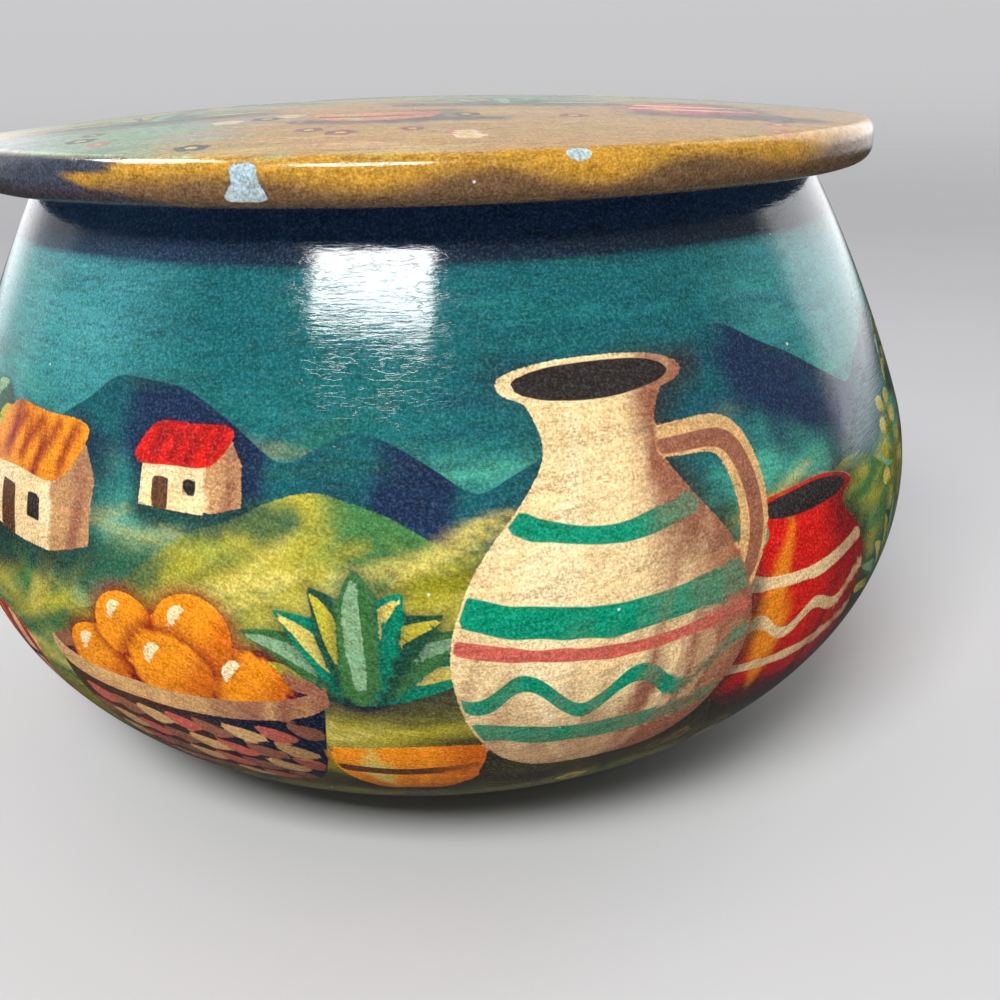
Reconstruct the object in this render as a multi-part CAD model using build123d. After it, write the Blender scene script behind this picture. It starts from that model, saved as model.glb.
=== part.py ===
from build123d import *
from math import cos, radians, sin
import os

# Round turned wooden box: a squat bowl and a lift-off lid that drops into its mouth.
# Millimetres, +Z up, origin at the centre of the foot, on the surface that the box stands on.

# Bowl, outside
belly_radius = 50.0        # widest radius
belly_height = 28.5        # height of the widest line
belly_arc = 24.9           # section radius of the turn at the belly
shoulder_turn = 17.8       # degrees above the widest line where the shoulder starts
underside_turn = 34.0      # degrees below the widest line where the underside starts
neck_radius = 39.2         # outer radius at the top of the bowl
bowl_height = 59.2
foot_radius = 27.0
foot_height = 1.3          # short straight foot under the round body
foot_edge = 0.4            # chamfer where the foot meets the table
foot_ring = 6.5            # width of the ring that the bowl stands on
foot_hollow = 0.8          # depth of the dish inside that ring
lip_round = 0.5            # rounding of the outer top edge

# Bowl, inside
wall = 5.2                 # wall at the belly
floor_thickness = 6.5
floor_radius = 22.0        # flat part of the floor
mouth_radius = 34.6
mouth_depth = 7.0          # straight bore at the mouth that guides the lid
mouth_edge = 0.4           # chamfer at the mouth

# Lid
lid_radius = 44.8
rim_under = 1.5            # rounding under the rim
rim_band = 1.2             # straight side of the rim
rim_over = 1.2             # rounding over the rim
lid_crown = 2.4            # height of the shallow dome above the rim
plug_gap = 0.4             # clearance between plug and mouth, all round
plug_depth = 5.0           # how far the plug drops into the mouth
plug_edge = 0.8            # chamfer at the plug's lower edge
dish_land = 6.0            # flat ring left round the dish under the plug
dish_depth = 1.8

DOWN = (0, -1)
UP = (0, 1)
OUT = (1, 0)


def belly_point(radius, degrees):
    """The point of a belly circle at an angle above its widest line."""
    centre = belly_radius - belly_arc
    angle = radians(degrees)
    return (centre + radius * cos(angle), belly_height + radius * sin(angle))


def round_wall(radius, bottom, top):
    """Underside, belly and shoulder as three arcs, each tangent to the next, from bottom to top."""
    under = radians(underside_turn)
    shoulder = radians(shoulder_turn)
    low = belly_point(radius, -underside_turn)
    high = belly_point(radius, shoulder_turn)
    return [
        TangentArc(low, bottom, tangent=(-sin(under), -cos(under))),
        ThreePointArc(low, belly_point(radius, 0), high),
        TangentArc(high, top, tangent=(-sin(shoulder), cos(shoulder))),
    ]


def turned(edges):
    """Spins a closed outline of (radius, height) points once round the vertical axis."""
    outline = Curve() + edges
    return revolve(Plane.XZ * make_face(outline.edges()), Axis.Z)


def bowl_blank():
    """The outside of the bowl, foot and lip included, before it is hollowed."""
    lip_start = (neck_radius, bowl_height - lip_round)
    lip_end = (neck_radius - lip_round, bowl_height)
    foot_top = (foot_radius, foot_height)
    edges = round_wall(belly_arc, foot_top, lip_start)
    edges += [
        TangentArc(lip_start, lip_end, tangent=UP),
        Line(lip_end, (0, bowl_height)),
        Line((0, bowl_height), (0, 0)),
        Line((0, 0), (foot_radius - foot_edge, 0)),
        Line((foot_radius - foot_edge, 0), (foot_radius, foot_edge)),
        Line((foot_radius, foot_edge), foot_top),
    ]
    return turned(edges)


def bowl_hollow():
    """The space inside: a flat floor, walls that follow the belly, and a straight mouth."""
    bore_end = (mouth_radius, bowl_height - mouth_depth)
    floor_edge = (floor_radius, floor_thickness)
    edges = round_wall(belly_arc - wall, floor_edge, bore_end)
    edges += [
        Line(bore_end, (mouth_radius, bowl_height - mouth_edge)),
        Line((mouth_radius, bowl_height - mouth_edge), (mouth_radius + mouth_edge, bowl_height)),
        Line((mouth_radius + mouth_edge, bowl_height), (0, bowl_height)),
        Line((0, bowl_height), (0, floor_thickness)),
        Line((0, floor_thickness), floor_edge),
    ]
    return turned(edges)


def bowl():
    dish_radius = foot_radius - foot_ring
    foot_dish = Cylinder(dish_radius, foot_hollow, align=(Align.CENTER, Align.CENTER, Align.MIN))
    return bowl_blank() - bowl_hollow() - foot_dish


def lid():
    seat = bowl_height
    band_start = seat + rim_under
    band_end = band_start + rim_band
    rim_top = band_end + rim_over
    crown = rim_top + lid_crown
    plug_radius = mouth_radius - plug_gap
    plug_end = seat - plug_depth
    dish_radius = plug_radius - dish_land
    edges = [
        TangentArc((0, crown), (lid_radius - rim_over, rim_top), tangent=OUT),
        TangentArc((lid_radius, band_end), (lid_radius - rim_over, rim_top), tangent=UP),
        Line((lid_radius, band_start), (lid_radius, band_end)),
        TangentArc((lid_radius, band_start), (lid_radius - rim_under, seat), tangent=DOWN),
        Line((lid_radius - rim_under, seat), (plug_radius, seat)),
        Line((plug_radius, seat), (plug_radius, plug_end + plug_edge)),
        Line((plug_radius, plug_end + plug_edge), (plug_radius - plug_edge, plug_end)),
        Line((plug_radius - plug_edge, plug_end), (dish_radius, plug_end)),
        TangentArc((0, plug_end + dish_depth), (dish_radius, plug_end), tangent=OUT),
        Line((0, plug_end + dish_depth), (0, crown)),
    ]
    return turned(edges)


os.makedirs("parts", exist_ok=True)
export_step(bowl(), "parts/bowl.step")
export_step(lid(), "parts/lid.step")
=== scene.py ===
import bpy
import math
import numpy as np
from mathutils import Euler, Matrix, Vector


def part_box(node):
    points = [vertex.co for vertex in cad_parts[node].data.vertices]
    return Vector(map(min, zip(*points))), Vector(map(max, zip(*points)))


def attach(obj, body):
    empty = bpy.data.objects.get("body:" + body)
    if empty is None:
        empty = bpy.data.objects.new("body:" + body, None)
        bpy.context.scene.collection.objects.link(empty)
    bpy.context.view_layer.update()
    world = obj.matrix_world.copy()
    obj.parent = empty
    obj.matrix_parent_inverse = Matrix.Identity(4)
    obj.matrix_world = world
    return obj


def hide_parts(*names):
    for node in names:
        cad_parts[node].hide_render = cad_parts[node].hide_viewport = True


# A turned and painted trinket box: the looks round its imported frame.
# Sizes are in millimetres, and turn into metres where a mesh, a lamp or the camera is made.
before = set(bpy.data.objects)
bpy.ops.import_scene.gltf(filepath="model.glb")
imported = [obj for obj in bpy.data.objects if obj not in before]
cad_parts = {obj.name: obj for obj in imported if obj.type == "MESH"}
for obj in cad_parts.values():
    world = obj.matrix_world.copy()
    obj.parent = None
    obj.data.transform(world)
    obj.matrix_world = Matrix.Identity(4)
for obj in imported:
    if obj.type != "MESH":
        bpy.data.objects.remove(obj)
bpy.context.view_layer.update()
mm = 0.001
rng = np.random.default_rng(7)
print("frame loaded:", len(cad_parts), "nodes")


# Camera, at the photograph's place and angle
view = {
    "place": (6.7, -135.3, 69.4),
    "pitch": 19.63,  # degrees down
    "roll": -1.43,
    "lens": 44.87,
    "sensor": 36.0,
    "nearest": 5.0,
}


def newObject(name, data):
    made = bpy.data.objects.new(name, data)
    bpy.context.scene.collection.objects.link(made)
    return made


def setCamera():
    eye = bpy.data.cameras.new("eye")
    eye.lens = view["lens"]
    eye.sensor_width = view["sensor"]
    eye.clip_start = view["nearest"] * mm
    camera = newObject("eye", eye)
    camera.location = [v * mm for v in view["place"]]
    tip = Euler((math.radians(90 - view["pitch"]), 0, 0)).to_matrix()
    twist = Euler((0, 0, math.radians(view["roll"]))).to_matrix()
    camera.rotation_euler = (tip @ twist).to_euler()
    bpy.context.scene.camera = camera
    bpy.context.scene.view_settings.view_transform = "Standard"


# Shader maths: a wire is a socket that plain arithmetic can be done on
def operator(name, swapped=False):  # a Math node of two values, which a reflected form swaps
    def made(wire, other):
        pair = (other, wire) if swapped else (wire, other)
        return wire.recipe.node("Math", {"operation": name}, dict(enumerate(pair)))
    return made


class Wire:
    __add__ = __radd__ = operator("ADD")
    __sub__, __rsub__ = operator("SUBTRACT"), operator("SUBTRACT", True)
    __mul__ = __rmul__ = operator("MULTIPLY")
    __truediv__, __rtruediv__ = operator("DIVIDE"), operator("DIVIDE", True)
    __lt__, __gt__ = operator("LESS_THAN"), operator("GREATER_THAN")
    most = operator("MAXIMUM")

    def __init__(self, recipe, socket):
        self.recipe, self.socket = recipe, socket

    def math(self, operation):  # of this value alone
        return self.recipe.node("Math", {"operation": operation}, {0: self})

    def step(self, low, high):  # 0 below low, 1 above high, smooth between
        settings = {"interpolation_type": "SMOOTHSTEP"}
        sockets = {"Value": self, "From Min": low, "From Max": high}
        return self.recipe.node("MapRange", settings, sockets)


class Recipe:
    def __init__(self, tree):
        self.tree = tree
        tree.nodes.clear()

    def node(self, kind, settings=None, sockets=None, out=0):  # kind: its type, after ShaderNode
        made = self.tree.nodes.new("ShaderNode" + kind)
        for key, value in (settings or {}).items():
            setattr(made, key, value)
        for key, value in (sockets or {}).items():
            if isinstance(value, Wire):
                self.tree.links.new(value.socket, made.inputs[key])
            else:
                made.inputs[key].default_value = value
        return Wire(self, made.outputs[out]) if made.outputs else made

    def mix(self, first, second, factor, blend="MIX"):  # a Mix node's colours are its sockets 6 and 7
        settings = {"data_type": "RGBA", "blend_type": blend, "clamp_factor": True}
        return self.node("Mix", settings, {0: factor, 6: first, 7: second}, out=2)

    def place(self):  # where the point is on the piece, in millimetres
        return self.stretch(self.node("TexCoord", out=3), (1 / mm,) * 3)

    def stretch(self, vector, scale):
        return self.node("VectorMath", {"operation": "MULTIPLY"}, {0: vector, 1: scale})

    def noise(self, vector, scale, detail=2.0, rough=0.5):  # scale: one number, or one for each axis
        if isinstance(scale, tuple):
            vector, scale = self.stretch(vector, scale), 1.0
        sockets = {"Vector": vector, "Scale": scale, "Detail": detail, "Roughness": rough}
        return self.node("TexNoise", {"noise_dimensions": "3D"}, sockets)

    def split(self, vector):
        made = self.node("SeparateXYZ", {}, {0: vector})
        return [Wire(self, socket) for socket in made.socket.node.outputs]

    def coat(self, name):  # a coat's colour, and how far inside its nearest shape the point is
        made = self.node("Attribute", {"attribute_name": name})
        return made, Wire(self, made.socket.node.outputs["Alpha"])

    def bump(self, height):  # a relief in millimetres
        return self.node("Bump", {}, {"Strength": 1.0, "Distance": mm, "Height": height})

    def surface(self, sockets):  # ends a material with one shader
        made = self.node("BsdfPrincipled", {}, sockets)
        self.node("OutputMaterial", {}, {0: made})


def newMaterial(name):
    material = bpy.data.materials.new(name)
    material.use_nodes = True
    return material, Recipe(material.node_tree)


# Stage: a plain pale floor, a soft room and two soft boxes
stage = {
    "floorRadius": 6.0,  # metres
    "floorColour": (0.66, 0.66, 0.67, 1),
    "floorCloud": (0.62, 0.62, 0.63, 1),
    "floorRough": 0.8,
    "floorFades": 0.38,  # metres from the middle, where the backdrop starts to take over for the camera
    "floorGone": 5.0,
    "cloudScale": 0.02,
    "backdropLow": (0.58, 0.58, 0.59, 1),  # what the camera sees above the floor, at the horizon
    "backdropHigh": (0.82, 0.82, 0.83, 1),  # and higher up
    "backdropRise": (0.0, 0.30),
}
room = {
    "tint": (1.0, 1.0, 1.02, 1),
    "rightWall": 2.1,  # brightness of the room on each side behind the box
    "leftWall": 1.9,
    "behind": 0.62,  # straight behind it
    "before": 0.20,  # in front of it
    "below": 0.05,
    "rearEdge": (0.26, 0.42),  # how far a direction points that way where a part starts and is whole
    "rightEdge": (0.30, 0.50),
    "leftEdge": (0.30, 0.45),
    "leftBack": (0.55, 0.80),
    "lowEdge": (-0.12, 0.0),
}
softBoxes = {  # turn: degrees from the front, rise: degrees up, lights: not only a gleam
    "frontBox": {"turn": -15.0, "rise": 43.5, "wide": 330.0, "tall": 195.0, "power": 5.2, "lights": True},
    "sideBox": {"turn": -94.0, "rise": 50.0, "wide": 280.0, "tall": 240.0, "power": 4.6, "lights": False},
}
lampsAway = 700.0
lampsAim = 45.0  # height that the lamps point at


def makeFloor():
    bpy.ops.mesh.primitive_circle_add(vertices=96, radius=stage["floorRadius"], fill_type="NGON")
    floor = bpy.context.object
    floor.name = "floor"
    floor.visible_glossy = False  # a dull floor leaves no glare under the belly
    material, recipe = newMaterial("paleFloor")
    cloud = recipe.noise(recipe.place(), stage["cloudScale"], 2.0)
    colour = recipe.mix(stage["floorColour"], stage["floorCloud"], cloud)
    sockets = {"Base Color": colour, "Roughness": stage["floorRough"]}
    surface = recipe.node("BsdfPrincipled", {}, sockets)
    away = recipe.node("VectorMath", {"operation": "LENGTH"}, {0: recipe.place()}, out=1) * mm
    kept = (1 / away).step(1 / stage["floorGone"], 1 / stage["floorFades"])
    byCamera = recipe.node("LightPath")
    clear = recipe.node("BsdfTransparent")
    both = recipe.node("MixShader", {}, {0: byCamera * (1 - kept), 1: surface, 2: clear})
    recipe.node("OutputMaterial", {}, {0: both})
    floor.data.materials.append(material)


def makeRoom():
    world = bpy.data.worlds.new("room")
    world.use_nodes = True
    bpy.context.scene.world = world
    recipe = Recipe(world.node_tree)
    across, back, up = recipe.split(recipe.node("TexCoord", out=0))
    rear = back.step(*room["rearEdge"])
    right = rear * across.step(*room["rightEdge"])
    left = back.step(*room["leftBack"]) * (0 - across).step(*room["leftEdge"])
    bright = rear * (room["behind"] - room["before"]) + room["before"]
    bright = bright + right * (room["rightWall"] - room["behind"])
    bright = bright + left * (room["leftWall"] - room["behind"])
    bright = room["below"] + (bright - room["below"]) * up.step(*room["lowEdge"])
    lit = recipe.node("Background", {}, {0: room["tint"], 1: bright})
    backdrop = recipe.mix(stage["backdropLow"], stage["backdropHigh"], up.step(*stage["backdropRise"]))
    seen = recipe.node("Background", {}, {0: backdrop, 1: 1.0})
    byCamera = recipe.node("LightPath")
    both = recipe.node("MixShader", {}, {0: byCamera, 1: lit, 2: seen})
    recipe.node("OutputWorld", {}, {0: both})


def makeSoftBox(name, box):
    lamp = bpy.data.lights.new(name, "AREA")
    lamp.shape = "RECTANGLE"
    lamp.size = box["wide"] * mm
    lamp.size_y = box["tall"] * mm
    lamp.energy = box["power"]
    light = newObject(name, lamp)
    turn, rise = math.radians(box["turn"]), math.radians(box["rise"])
    level = lampsAway * math.cos(rise)
    place = (level * math.sin(turn), -level * math.cos(turn), lampsAway * math.sin(rise) + lampsAim)
    light.location = [v * mm for v in place]
    light.rotation_euler = (math.pi / 2 - rise, 0, turn)
    light.visible_diffuse = box["lights"]


# Turned outlines: arcs in half section, as (radius, height) points
bare, painted = 0, 1  # a piece's two materials, in this order
sharpFrom = 38  # degrees between faces


def unit(vector):
    return np.array(vector) / math.hypot(*vector)


def arcFrom(start, end, tangent, step):  # the arc from start to end that sets off along tangent
    start, end, tangent = np.array(start), np.array(end), unit(tangent)
    chord = end - start
    side = np.array((-tangent[1], tangent[0]))
    bend = 2 * chord @ side / (chord @ chord)
    centre = start + side / bend
    first = start - centre
    turn = 2 * math.atan2(tangent[0] * chord[1] - tangent[1] * chord[0], tangent @ chord)
    count = max(2, math.ceil(abs(turn / bend) / step))
    points = []
    for share in np.linspace(0, 1, count + 1):
        c, s = math.cos(turn * share), math.sin(turn * share)
        points.append((centre[0] + c * first[0] - s * first[1], centre[1] + s * first[0] + c * first[1]))
    return points


class Outline:  # a half section, built up one stretch at a time
    def __init__(self, start):
        self.points, self.skins = [start], []

    def add(self, points, skin):
        self.points += points[1:]
        self.skins += [skin] * (len(points) - 1)

    def line(self, end, skin, step=99.0):
        start = np.array(self.points[-1])
        count = max(1, math.ceil(math.dist(start, end) / step))
        self.add([tuple(start + (np.array(end) - start) * k / count) for k in range(count + 1)], skin)

    def corners(self, ends):  # bare straight stretches from one to the next
        for end in ends:
            self.line(end, bare)

    def arc(self, end, tangent, skin, step):
        self.add(arcFrom(self.points[-1], end, tangent, step), skin)

    def arcBack(self, end, tangent, skin, step):  # the same, for an arc whose tangent is known at its end
        self.add(arcFrom(end, self.points[-1], tangent, step)[::-1], skin)


def turn(name, outline, around):  # spins the half section, whose first and last points lie on the axis
    points = np.array(outline.points)
    rings = points[1:-1]
    angles = np.arange(around) * 2 * math.pi / around - math.pi
    radius, height = np.repeat(rings, around, axis=0).T
    angle = np.tile(angles, len(rings))
    spun = np.c_[radius * np.sin(angle), -radius * np.cos(angle), height]
    verts = np.vstack([spun, (0, 0, points[0, 1]), (0, 0, points[-1, 1])])
    first, last = len(spun), len(spun) + 1
    here = np.arange(around)
    beside = np.roll(here, -1)
    faces = [(first, int(a), int(b)) for a, b in zip(here, beside)]
    for ring in range(len(rings) - 1):
        low, high = ring * around, (ring + 1) * around
        faces += np.c_[low + here, high + here, high + beside, low + beside].tolist()
    low = (len(rings) - 1) * around
    faces += [(last, low + int(a), low + int(b)) for a, b in zip(beside, here)]
    mesh = bpy.data.meshes.new(name)
    mesh.from_pydata((verts * mm).tolist(), [], faces)
    mesh.polygons.foreach_set("use_smooth", [True] * len(faces))
    skins = np.repeat(outline.skins, around)
    mesh.polygons.foreach_set("material_index", skins.astype(np.int32))
    mesh.set_sharp_from_angle(angle=math.radians(sharpFrom))
    mesh.update()
    piece = newObject(name, mesh)
    along = np.r_[0, np.cumsum(np.hypot(*np.diff(points, axis=0).T))]
    along = np.r_[np.repeat(along[1:-1], around), along[0], along[-1]]
    return piece, np.r_[angle, 0, 0], along, np.r_[radius, 0, 0]


def paintedPlaces(outline, around):  # the vertices that touch a painted face
    skins = np.array(outline.skins)
    rings = np.repeat((skins[:-1] == painted) | (skins[1:] == painted), around)
    return np.flatnonzero(np.r_[rings, skins[0] == painted, skins[-1] == painted])


# Painting. A canvas is a surface with flat places on it, and coats of paint.
# A coat holds a colour and a signed distance in millimetres for each vertex: over 0 is inside a shape.
paints = {
    "navy": (20, 42, 74), "night": (14, 26, 48), "teal": (14, 92, 98), "lagoon": (28, 128, 122),
    "morning": (78, 160, 168), "mint": (92, 190, 158), "pineGreen": (34, 84, 62), "leaf": (66, 122, 66),
    "moss": (112, 128, 34), "olive": (146, 142, 22), "yellowOlive": (186, 176, 52),
    "straw": (214, 196, 96), "cream": (240, 210, 156), "paleCream": (246, 224, 178),
    "sand": (214, 170, 112), "brownShade": (150, 96, 72), "umber": (92, 58, 38), "charcoal": (44, 38, 36),
    "orange": (242, 146, 18), "deepOrange": (206, 104, 12), "red": (214, 26, 14), "deepRed": (136, 20, 22),
    "salmon": (202, 98, 84), "stripeGreen": (0, 142, 108), "ochre": (190, 142, 46),
    "sage": (128, 168, 128), "lavender": (158, 152, 168), "slate": (58, 66, 82), "primer": (168, 190, 200),
}


def tint(paint):  # a paint's name as the renderer counts light; a colour stays as it is
    if not isinstance(paint, str):
        return paint
    srgb = np.array(paints[paint]) / 255
    return np.where(srgb <= 0.04045, srgb / 12.92, ((srgb + 0.055) / 1.055) ** 2.4)


def blendOf(first, second, share):
    share = np.clip(share, 0, 1)[:, None]
    return tint(first) * (1 - share) + tint(second) * share


def smooth(value, low, high):
    share = np.clip((value - low) / (high - low), 0, 1)
    return share * share * (3 - 2 * share)


def turnedBy(degrees, x, y):
    c, s = math.cos(math.radians(degrees)), math.sin(math.radians(degrees))
    return c * x + s * y, c * y - s * x


cells = 64
seedStep = (17.3, 9.7)  # how far one seed's patches lie from the next one's
lattice = rng.random((cells, cells))


def cloudy(x, y, seed=0):  # soft random patches from 0 to 1, one cell a unit
    x, y = x + seedStep[0] * seed, y + seedStep[1] * seed
    left, low = np.floor(x).astype(int), np.floor(y).astype(int)
    across, up = x - left, y - low
    across, up = across ** 2 * (3 - 2 * across), up ** 2 * (3 - 2 * up)
    corner = [lattice[(low + b) % cells, (left + a) % cells] for b in (0, 1) for a in (0, 1)]
    bottom = corner[0] * (1 - across) + corner[1] * across
    top = corner[2] * (1 - across) + corner[3] * across
    return bottom * (1 - up) + top * up


def curved(points, closed=False, steps=6):  # a smooth line through the points
    points = np.array(points, float)
    count = len(points)
    line = []
    for k in range(count if closed else count - 1):
        ends = [k - 1, k, k + 1, k + 2]
        ends = [e % count for e in ends] if closed else [min(max(e, 0), count - 1) for e in ends]
        a, b, c, d = points[ends]
        for share in np.arange(steps) / steps:
            line.append(0.5 * (2 * b + (c - a) * share + (2 * a - 5 * b + 4 * c - d) * share ** 2
                               + (3 * b - a - 3 * c + d) * share ** 3))
    if not closed:
        line.append(points[-1])
    return np.array(line)


outOfReach = 99.0
hair, crumb = 1e-9, 1e-6  # they keep a division off zero
coatNames = ("far", "hills", "near", "trim", "front", "bands", "marks")  # from the lowest up


class Canvas:  # a painted surface: its ground colour, and the coats over it
    deepest = 2.0  # how far from an edge a coat keeps count, in millimetres

    def __init__(self, flatten, count):
        self.flatten = flatten
        self.ground = np.zeros((count, 3))
        self.coats = {name: self.blank(count) for name in coatNames}

    def blank(self, count):
        return np.tile((0.0, 0.0, 0.0, -self.deepest), (count, 1))

    def layers(self, below=None):  # the ground and the coats, or only those under the named one
        under = coatNames[:coatNames.index(below)] if below else coatNames
        return [self.ground] + [self.coats[name] for name in under]

    def wash(self, name, washes):  # the ground: one paint all over, and (paint, share) washes on it
        self.ground[:] = tint(name)
        for paint, share in washes:
            self.ground[:] = blendOf(self.ground, paint, share)

    def glaze(self, share, colour):  # a thin wash over everything
        for layer in self.layers():
            layer[:, :3] = blendOf(layer[:, :3], colour, share)

    def save(self, mesh, wet, flow):
        self.coats["ground"] = np.c_[self.ground, np.ones(len(wet))]
        for name, coat in self.coats.items():
            whole = self.blank(len(mesh.vertices)).astype(np.float32)
            whole[wet] = coat
            mesh.color_attributes.new(name, "FLOAT_COLOR", "POINT").data.foreach_set("color", whole.ravel())
        mesh.attributes.new("flow", "FLOAT", "POINT").data.foreach_set("value", flow.astype(np.float32))


class Spot:  # a patch of the canvas, flat, with its own x to the right and y up
    slip = 0.4  # how far a hand strays from a ruled line, in millimetres
    slipEvery = 4.5

    # lean: degrees, rise: how high the patch's middle is over the foot of what is painted
    def __init__(self, canvas, a, b, reach, lean=0.0, size=1.0, rise=0.0):
        b = b + rise
        x, y = canvas.flatten(a, b)
        self.canvas, self.size = canvas, size
        self.at = np.flatnonzero((np.abs(x) < reach * size) & (np.abs(y) < reach * size))
        x, y = x[self.at], y[self.at]
        u, v = x / self.slipEvery, y / self.slipEvery
        across, up = turnedBy(lean, x, y)
        self.x = across / size + self.slip * (cloudy(u + a, v + b, 3) - 0.5)
        self.y = up / size + self.slip * (cloudy(u + b, v + a, 5) - 0.5)
        self.up = self.y + rise

    def nearest(self, start, end):  # on a straight stretch: its share of the way along, and how far it is
        (ax, ay), (bx, by) = start, end
        dx, dy = bx - ax, by - ay
        x, y = self.x - ax, self.up - ay
        share = np.clip((x * dx + y * dy) / (dx * dx + dy * dy + hair), 0, 1)
        return share, np.hypot(x - share * dx, y - share * dy)

    def stroke(self, path):  # depth in one tapering stroke through (x, y, half width) points
        line = curved(path)
        depth = np.full(self.x.shape, -outOfReach)
        for start, end in zip(line[:-1], line[1:]):
            share, away = self.nearest(start[:2], end[:2])
            depth = np.maximum(depth, start[2] + (end[2] - start[2]) * share - away)
        return depth

    def loop(self, corners):  # depth in a closed outline
        away = np.full(self.x.shape, outOfReach)
        inside = np.zeros(self.x.shape, bool)
        for (ax, ay), (bx, by) in zip(corners, np.roll(corners, -1, axis=0)):
            away = np.minimum(away, self.nearest((ax, ay), (bx, by))[1])
            crosses = (ay > self.up) != (by > self.up)
            inside ^= crosses & (self.x < ax + (bx - ax) * (self.up - ay) / ((by - ay) or hair))
        return np.where(inside, away, -away)

    def oval(self, cx, cy, wide, tall):  # depth in an oval, from its middle and half sizes
        px, py = (self.x - cx) / wide, (self.up - cy) / tall
        near = np.hypot(px, py) + crumb
        steep = np.hypot(px / wide, py / tall) + crumb
        return near * (1 - near) / steep

    def lay(self, coat, depth, colour):  # a new shape, which hides what the coats above it hold there
        held = self.canvas.coats[coat]
        depth = np.clip(depth * self.size, -Canvas.deepest, Canvas.deepest)
        old = held[self.at, 3]
        fresh = depth > np.minimum(old, 0)
        colour = np.broadcast_to(tint(colour), (len(self.at), 3))
        held[self.at[fresh], :3] = colour[fresh]
        held[self.at, 3] = np.maximum(old, depth)
        for name in coatNames[coatNames.index(coat) + 1:]:
            above = self.canvas.coats[name]
            above[self.at, 3] = np.minimum(above[self.at, 3], -depth)

    def rub(self, share, colour, below):  # paint worked softly into the ground and the coats under one
        for layer in self.canvas.layers(below):
            layer[self.at, :3] = blendOf(layer[self.at, :3], colour, share)

    def shade(self, depth, edge, strength, name, below):  # a soft patch of one paint, whole past its edge
        self.rub(smooth(depth, *edge) * strength, name, below)

    def bristles(self, lean, across=1.1, along=0.16, seed=1):
        x, y = turnedBy(lean, self.x, self.y)
        return cloudy(x * along, y * across, seed)


def dab(canvas, a, b, long, wide, lean, colour, strength, seed, below):  # one soft brush stroke
    spot = Spot(canvas, a, b, long * 0.6 + 3, lean)
    bow = 0.08 * long * math.sin(seed * 2.4)
    path = [(-long / 2, 0, wide * 0.5), (0, bow, wide), (long / 2, 0, wide * 0.2)]
    hairs = 0.25 + 0.75 * smooth(spot.bristles(0, 1.7, seed=seed), 0.35, 0.6)
    spot.rub(smooth(spot.stroke(path), -0.4, 0.4) * strength * hairs, colour, below)


# Many strokes. spread: the ranges of place and height, size: length and half width,
# lean: degrees and their scatter
def dabs(canvas, count, spread, size, lean, strength, names, below="far"):
    (a0, a1), (b0, b1) = spread
    for k in range(count):
        a, b = rng.uniform(a0, a1), rng.uniform(b0, b1)
        colour = tint(names[k % len(names)]) * rng.uniform(0.85, 1.15)
        long, wide = size[0] * rng.uniform(0.6, 1.4), size[1] * rng.uniform(0.6, 1.4)
        dab(canvas, a, b, long, wide, rng.normal(*lean), colour, strength * rng.uniform(0.5, 1.0), k, below)


# Motifs. Each is drawn in millimetres round its own spot, with y up from its base, on two coats:
# one for its body and one for what is painted on it.
far, close = ("near", "trim"), ("front", "bands")
pots = {  # (half width, height) of each shape, for a pot one unit wide and one high
    "jug": [(0.0, -0.03), (0.2, -0.01), (0.36, 0.10), (0.48, 0.34), (0.42, 0.56), (0.24, 0.74),
            (0.17, 0.84), (0.20, 0.94), (0.28, 1)],
    "round": [(0.0, -0.03), (0.24, -0.01), (0.44, 0.16), (0.50, 0.44), (0.43, 0.70), (0.27, 0.85),
              (0.25, 0.92), (0.33, 1)],
    "bowl": [(0.0, -0.05), (0.20, -0.02), (0.38, 0.26), (0.48, 0.66), (0.50, 1)],
    "basket": [(0.0, -0.10), (0.30, -0.04), (0.42, 0.35), (0.49, 0.8), (0.50, 1)],
}
# Dark streaks down a pot: how far out, from and to which height, half width, and how dark
potStreaks = ((0.84, 0.14, 0.66, 1.0, 0.9), (0.66, 0.10, 0.50, 0.8, 0.65), (0.48, 0.08, 0.36, 0.5, 0.5))
mouthHeight = 0.985  # of a pot's mouth, as a share of its height


def potSide(shape, wide, tall):  # its right outline, and the whole one
    side = curved([(w * wide, h * tall) for w, h in pots[shape]])
    return side, np.vstack([side, side[::-1] * (-1, 1)])


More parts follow.
